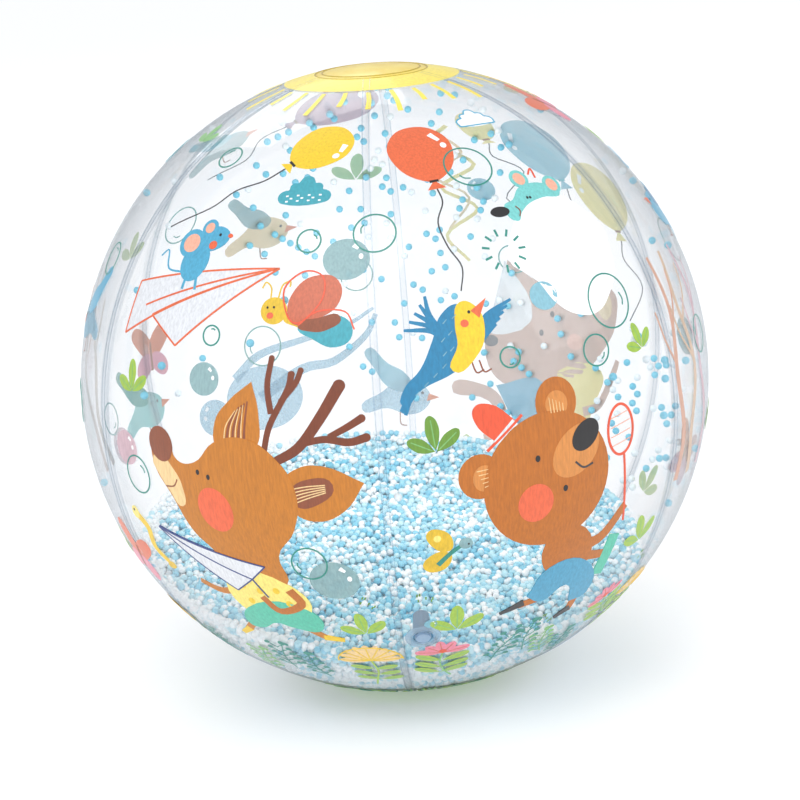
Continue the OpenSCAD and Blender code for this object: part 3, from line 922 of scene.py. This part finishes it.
for number, (turn_by, latitude, rolled, size) in enumerate((
    (-8.7, -44.6, 2, 1), (64, -40, 0, 0.9), (-70, -42, 4, 1), (128, -42, -3, 1), (-130, -44, 4, 1), (-172, -42, 2, 1),
)):
    stroke([(1, 2), (2, -12), (-1, -24), (-4, -36)], 1.1, "lime", 2)
    for spoke in range(9):
        way = math.radians(4 + 21.5 * spoke)
        tip = Vector((1 + 17 * math.cos(way), 1 + 13 * math.sin(way)))
        leaf(1, 1, 16.5, 5.4, math.degrees(way), "cream", 1)
        stroke([(1, 1), tuple(tip)], 0.7, "yellow", 3)
    stroke([(1 + 17.5 * math.cos(math.radians(a)), 1 + 14 * math.sin(math.radians(a))) for a in range(0, 181, 15)],
           0.8, "yellow", 3)
    for pair in (-9, -17, -25):
        leaf(1, pair, 13, 5, 162, "lime", 1, "moss")
        leaf(1, pair - 1, 13, 5, 14, "lime", 1, "moss")
    press(f"umbel_{number}", turn_by, latitude, rolled, size)

for number, (turn_by, latitude, rolled, size) in enumerate((
    (9, -42.8, 0, 1.05), (51, -37.5, 26, 0.9), (-96, -40, 0, 1), (96, -44, 0, 1), (152, -46, 0, 1), (-152, -40, 0, 1),
)):
    stroke([(0, 0), (-1, -10), (1, -20), (6, -31)], 1, "moss", 2)
    for petal in (14, 58, 100, 142, 174):
        leaf(0, 0, 14 if petal in (14, 174) else 11, 5.6, petal, "pink", 1, "rust")
    oval(0, 1.4, 2, 1.8, "red", 4, sides=10)
    for pair in (-9, -17, -24):
        leaf(0, pair, 15, 5.4, 152, "lime", 1, "moss")
        leaf(0, pair, 15, 5.4, 24, "lime", 1, "moss")
    press(f"bloom_{number}", turn_by, latitude, rolled, size)

for number, (turn_by, latitude, rolled, ink) in enumerate((
    (24, -45, -12, "pine"), (30, -43, 10, "pine"), (37, -47, 24, "moss"), (-24, -48, 8, "pine"), (-31, -45, -6, "pine"),
    (-40, -48, -12, "moss"), (46, -50, 20, "pine"), (-54, -46, 4, "pine"), (77, -47, 6, "pine"), (114, -46, -8, "pine"),
    (-84, -50, 4, "moss"), (-110, -47, -6, "pine"), (140, -50, 4, "moss"), (-142, -50, 8, "pine"), (178, -50, 3, "pine"),
)):
    stroke([(0, -14), (-1, 0), (3, 16)], 0.7, ink, 2, 0.5)
    for joint in range(5):
        y = -10 + 5.4 * joint
        stroke([(-0.6, y), (-5, y + 3.4)], 0.5, ink, 2)
        oval(-6, y + 4.2, 1.9, 1.4, ink, 1, 30, 12)
        stroke([(-0.4, y + 1), (4.6, y + 4.2)], 0.5, ink, 2)
        oval(5.6, y + 5, 1.9, 1.4, ink, 1, -24, 12)
    oval(3, 17, 1.8, 2, ink, 1, 0, 12)
    press(f"stalk_{number:02d}", turn_by, latitude, rolled)

grass_chance = random.Random(11)
for tuft in range(96):
    far, angle = 52 + 12 * grass_chance.random(), math.tau * (tuft + grass_chance.random()) / 96
    root = Vector((far * math.cos(angle), far * math.sin(angle)))
    for blade in range(4):
        bend = angle + 0.5 * (grass_chance.random() - 0.5)
        tip = root + Vector((math.cos(bend), math.sin(bend))) * (9 + 9 * grass_chance.random())
        stroke([tuple(root), tuple((root + tip) / 2 + Vector((0.6, -0.4))), tuple(tip)], 1.5,
               ("moss", "lime", "pine")[(tuft + blade) % 3], 1 + blade, 0.4)
press("grass_ring", 0, -90)
stroke(round_points(0, 0, 41, 36), 19, "moss", 1, closed=True)
press("green_ring", 0, -90)

for number, (turn_by, latitude, rolled) in enumerate(((-5.7, -27.4, 0), (5.2, -27, 30), (33, -38, 8), (58, -30, 10))):
    for speck in range(6):
        angle = speck * 1.1
        stroke([(speck * 1.4 - 4, math.sin(angle) * 4), (speck * 1.4 - 3, math.sin(angle) * 4 + 1.6)], 0.8, "olive", 1)
    press(f"specks_{number}", turn_by, latitude, rolled)

# ---- pictures on the back gores ----------------------------------------------
# The three gores at the back carry a running fox in a blue cap, more birds, a
# winding ribbon and tall trunks, in the same inks.
patch_of(
    [(31, 24), (16, 12.6), (-2, 5), (-23, 1), (-43, 10), (-45, -9), (-34, -29), (-12, -49), (9, -54), (38, -54),
     (50, -34), (42, -9)],
    "rosewood", 1, (0,),
)
patch_of([(33, 24), (18, -12), (26, -21), (42, -24), (47, -22), (42, -2)], "white", 2, (0, 2))
oval(46, -28, 4.6, 3.6, "charcoal", 3)
for x, y in ((4, -10), (12, -22)):
    oval(x, y, 1.5, 2, "black", 3, sides=10)
oval(-12, -26, 6, 5, "shell", 3)
oval(-36, 0, 6, 10, "cream", 2)
patch_of([(42, -56), (9, -53), (8, -66), (14, -86), (28, -76)], "denim", 3, (0, 3))
patch_of([(9, -53), (-33, -42), (-30, -62), (-16, -92), (12, -86)], "lemon", 1)
stroke([(-22, -68), (-34, -62), (-43, -42), (-46, -34)], 6, "rosewood", 2, 3.4)
patch_of([(71, -57), (53, -55), (36, -66), (34, -82), (46, -90), (40, -76), (46, -66)], "rosewood", 1)
for x, turned in ((-6, -100), (8, -98)):
    stroke([(x, -86), (x * 1.4, turned), (x * 1.6 - 6, turned - 6)], 6, "rosewood", 1, 4)
press("fox", 147, 2)

stroke([(-4, 60), (10, 44), (-14, 26), (10, 8), (-10, -8), (12, -26), (0, -44)], 3, "lemon", 1, 2)
stroke([(10, 58), (-8, 36), (14, 18), (-6, 0), (10, -22)], 2.2, "cream", 2, 1.4)
press("ribbons", 165.4, 24)
stroke([(52, 6), (33.5, 18.7), (5, 23.9), (-24, 29), (-43, 38)], 6, "haze", 1, 2)
stroke([(36, -8), (6, 6), (-15, 8), (-36, 21), (-44, 34)], 7, "haze", 2, 3)
oval(34, -8, 26, 20, "haze", 3)
press("scarf", -160, -12)

for number, (turn_by, latitude, rolled, body, wing) in enumerate((
    (-151, 20, 0, "cream", "smoke"), (-179, -18, 8, "haze", "ice"), (86, 30, -30, "sky", "blue"), (-76, 18, 12, "haze", "sky"),
    (112, 60, 10, "lemon", "ochre"), (-118, -10, 0, "sea", "pine"), (-132, 45, -30, "smoke", "teal"),
)):
    patch_of([(-16, 2), (-8, 9), (4, 10), (14, 2), (26, -10), (10, -8), (-4, -11), (-14, -6)], body, 1)
    patch_of([(-4, 6), (8, 4), (20, 16), (26, 28), (12, 20), (0, 14)], wing, 2)
    patch_of([(-15, 3), (-22, 1), (-14, -2)], "orange", 2, "all")
    oval(-11, 3, 0.9, 1, "black", 3, sides=8)
    stroke([(2, -10), (1, -17), (-3, -18)], 0.8, "brown", 1)
    press(f"bird_{number}", turn_by, latitude, rolled)

for number, (turn_by, ink, sway) in enumerate(((62, "rosewood", 3), (68, "beige", -4), (74, "rose", 4), (-94, "rosewood", -3), (-99, "beige", 4))):
    stroke([(0, 64), (sway, 34), (-sway, 0), (sway, -34), (0, -60)], 2.6, ink, 1, 5.4)
    stroke([(sway * 0.6, 24), (11, 40), (14, 54)], 1.7, ink, 2, 1)
    stroke([(-sway * 0.6, 4), (-10, 20), (-13, 36)], 1.7, ink, 2, 1)
    press(f"trunk_{number}", turn_by, 4)

for number, (turn_by, latitude, rolled) in enumerate(((-122, 0, 0), (100, -22, 6), (-62, -24, -20), (88, 58, 30))):
    patch_of([(0, 0), (-14, 6), (-17, 17), (-6, 16)], "orange", 1)
    patch_of([(0, 0), (13, 7), (17, 18), (6, 16)], "orange", 1)
    patch_of([(0, 0), (-12, -3), (-12, -13), (-3, -10)], "pink", 2)
    patch_of([(0, 0), (12, -2), (13, -12), (3, -10)], "pink", 2)
    stroke([(0, -9), (0, 8)], 2, "brown", 3, 1.4)
    press(f"moth_{number}", turn_by, latitude, rolled)

# ---- foam beads --------------------------------------------------------------
# Thousands of 4.2 mm foam beads, blue and white, lie loose in the bottom of the ball.
# The outer ones press against the film, and the pile's surface slopes up to the back.
BEAD_R = 0.0021
HEAP_R = BALL_R - 0.0006
heap_up = Vector((0.09466, -0.15643, 0.98314)).normalized()
HEAP_DROP = 0.0974


def foam(name, attribute_dark, attribute_light, own_shades=True):
    """Bead foam: a matt skin of tiny cells, each bead with its own shade."""
    skin, tree, out = shader_tree(name)
    make, join = tree.nodes.new, tree.links.new
    if own_shades:
        shade = make("ShaderNodeAttribute")
        shade.attribute_name = "shade"
    else:
        shade = make("ShaderNodeTexNoise")
        shade.inputs["Scale"].default_value = 45
    mix = make("ShaderNodeValToRGB")
    mix.color_ramp.elements[0].color = attribute_dark
    mix.color_ramp.elements[1].color = attribute_light
    place = make("ShaderNodeTexCoord")
    if not own_shades:
        join(place.outputs["Object"], shade.inputs["Vector"])
    cells = make("ShaderNodeTexVoronoi")
    cells.inputs["Scale"].default_value = 1400
    relief = make("ShaderNodeBump")
    relief.inputs["Strength"].default_value = 0.35
    relief.inputs["Distance"].default_value = 0.0002
    body = make("ShaderNodeBsdfPrincipled")
    body.inputs["Roughness"].default_value = 0.6
    body.inputs["Subsurface Weight"].default_value = 0.35
    body.inputs["Subsurface Radius"].default_value = (0.9, 1.0, 1.0)
    body.inputs["Subsurface Scale"].default_value = 0.0015
    join(shade.outputs["Fac"], mix.inputs[0])
    join(mix.outputs[0], body.inputs["Base Color"])
    join(place.outputs["Object"], cells.inputs["Vector"])
    join(cells.outputs["Distance"], relief.inputs["Height"])
    join(relief.outputs[0], body.inputs["Normal"])
    join(body.outputs[0], out.inputs[0])
    return skin


blue_foam = foam("blue_foam", tint(122, 200, 226), tint(202, 236, 244))
white_foam = foam("white_foam", tint(240, 248, 252), tint(254, 255, 255))

chance = random.Random(5)


def settle(points, keep_on, rounds, reach):
    """Pushes crowded beads apart, then puts each back on its own surface."""
    for _ in range(rounds):
        near = kdtree.KDTree(len(points))
        for index, point in enumerate(points):
            near.insert(point, index)
        near.balance()
        moved = []
        for index, point in enumerate(points):
            push = Vector((0, 0, 0))
            for other, number, gap in near.find_range(point, reach):
                if number != index and gap > 1e-9:
                    push += (point - other) * ((reach - gap) / gap * 0.32)
            moved.append(keep_on(point + push, index))
        points = moved
    return points


# beads against the film
side_axis = heap_up.orthogonal().normalized()
other_axis = heap_up.cross(side_axis)
wall_depth = []
wall_beads = []
cap_share = 1 - HEAP_DROP / HEAP_R
wall_count = int(2 * math.pi * HEAP_R**2 * cap_share / (0.92 * (2 * BEAD_R) ** 2))
for index in range(wall_count):
    low = HEAP_DROP / HEAP_R + cap_share * chance.random()
    around = chance.random() * math.tau
    level = math.sqrt(1 - low * low)
    wall_depth.append(chance.random() ** 3 * 0.0016)
    spot = side_axis * (level * math.cos(around)) + other_axis * (level * math.sin(around)) - heap_up * low
    wall_beads.append(spot * (HEAP_R - BEAD_R - wall_depth[-1]))


def on_wall(point, index):
    point = point.normalized() * (HEAP_R - BEAD_R - wall_depth[index])
    over = point.dot(heap_up) + HEAP_DROP + BEAD_R * 0.4
    return point - heap_up * over if over > 0 else point


wall_beads = settle(wall_beads, on_wall, 14, 2 * BEAD_R)

# beads on top of the pile, in a rough layer about two beads deep
top_reach = math.sqrt((HEAP_R - 2 * BEAD_R) ** 2 - HEAP_DROP**2) - BEAD_R * 0.6
top_level = []
top_beads = []
for index in range(int(math.pi * top_reach**2 / (0.37 * (2 * BEAD_R) ** 2))):
    out = top_reach * math.sqrt(chance.random())
    around = chance.random() * math.tau
    spot = side_axis * (out * math.cos(around)) + other_axis * (out * math.sin(around))
    swell = 0.0016 * math.sin(spot.x * 55 + 1) * math.cos(spot.y * 47) - 0.0012
    top_level.append(swell - chance.random() * 0.0056)
    top_beads.append(spot - heap_up * (HEAP_DROP + BEAD_R - top_level[-1]))


def on_top(point, index):
    level = point.dot(heap_up)
    flat = point - heap_up * level
    wanted = -(HEAP_DROP + BEAD_R) + top_level[index]
    if flat.length > top_reach:
        flat *= top_reach / flat.length
    return flat + heap_up * (wanted * 0.6 + min(max(level, wanted - 0.004), wanted + 0.0008) * 0.4)


top_beads = settle(top_beads, on_top, 12, 2 * BEAD_R * 0.97)

# the body of the pile under the visible beads
core = bmesh.new()
bmesh.ops.create_icosphere(core, subdivisions=6, radius=HEAP_R - 1.5 * BEAD_R)
bmesh.ops.bisect_plane(
    core, geom=core.verts[:] + core.edges[:] + core.faces[:],
    plane_co=heap_up * -(HEAP_DROP + 4.2 * BEAD_R), plane_no=heap_up, clear_outer=True,
)
rim = [e for e in core.edges if e.is_boundary]
bmesh.ops.contextual_create(core, geom=rim)
bmesh.ops.recalc_face_normals(core, faces=core.faces)
core_mesh = bpy.data.meshes.new("pile_core")
core.to_mesh(core_mesh)
core_foam = foam("packed_foam", tint(120, 200, 232), tint(214, 240, 248))
core_mesh.materials.append(core_foam)
core_mesh.attributes.new("shade", "FLOAT", "FACE").data.foreach_set(
    "value", [chance.random() for _ in core_mesh.polygons]
)
pile_core = show(core_mesh, "pile_core")
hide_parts("bead_heap")
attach(pile_core, "beads")

# one bead, 24 faces, repeated in numpy over every place
ball = bmesh.new()
bmesh.ops.create_cube(ball, size=1)
bmesh.ops.subdivide_edges(ball, edges=ball.edges, cuts=1, use_grid_fill=True)
for vert in ball.verts:
    vert.co = vert.co.normalized() * BEAD_R
bead_points = np.array([v.co for v in ball.verts])
bead_faces = np.array([[v.index for v in f.verts] for f in ball.faces])


def pour(name, places, skin):
    """One mesh of many beads. Each bead is turned at random and carries its own shade."""
    turns = np.array([
        Matrix.Rotation(chance.random() * math.tau, 3, Vector((chance.gauss(0, 1), chance.gauss(0, 1), 1)))
        for _ in places
    ])
    sizes = np.array([0.93 + 0.1 * chance.random() for _ in places])
    points = np.einsum("nij,vj->nvi", turns, bead_points) * sizes[:, None, None]
    points += np.array(places)[:, None, :]
    faces = (bead_faces[None] + np.arange(len(places))[:, None, None] * len(bead_points)).reshape(-1, 4)
    beads = bpy.data.meshes.new(name)
    beads.from_pydata(points.reshape(-1, 3).tolist(), [], faces.tolist())
    beads.polygons.foreach_set("use_smooth", [True] * len(beads.polygons))
    shades = np.repeat([chance.random() for _ in places], len(bead_faces))
    beads.attributes.new("shade", "FLOAT", "FACE").data.foreach_set("value", shades)
    beads.materials.append(skin)
    piece = show(beads, name)
    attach(piece, "beads")
    return piece


groups = {"blue": [], "white": []}
for point in wall_beads + top_beads:
    point = point.normalized() * min(point.length, HEAP_R - 1.04 * BEAD_R)  # none pokes through the film
    low = -point.dot(heap_up)
    by_wall = point.length > HEAP_R - 3 * BEAD_R
    # more white beads by the film at the left and low down: partly the pile's own mix, partly painted light that lifts
    # the shade on the lower pile
    white_share_lifting_shade = 0.36 if not by_wall else 0.84 if point.x < -0.06 else 0.62 if low > 0.115 else 0.4
    groups["white" if chance.random() < white_share_lifting_shade else "blue"].append(point)
for colour, skin in (("blue", blue_foam), ("white", white_foam)):
    places = groups[colour]
    chance.shuffle(places)
    for number, first in enumerate(range(0, len(places), 3900)):
        pour(f"pile_{colour}_{number}", places[first:first + 3900], skin)

# the single beads that cling to the film above the pile keep the CAD's own spheres
loose_blue = foam("loose_blue_foam", tint(104, 190, 216), tint(140, 214, 234), False)
loose_white = foam("loose_white_foam", tint(226, 236, 242), tint(246, 250, 252), False)
for colour, skin in (("blue", loose_blue), ("white", loose_white)):
    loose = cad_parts["loose_beads_" + colour]
    loose.data.materials.clear()
    loose.data.materials.append(skin)
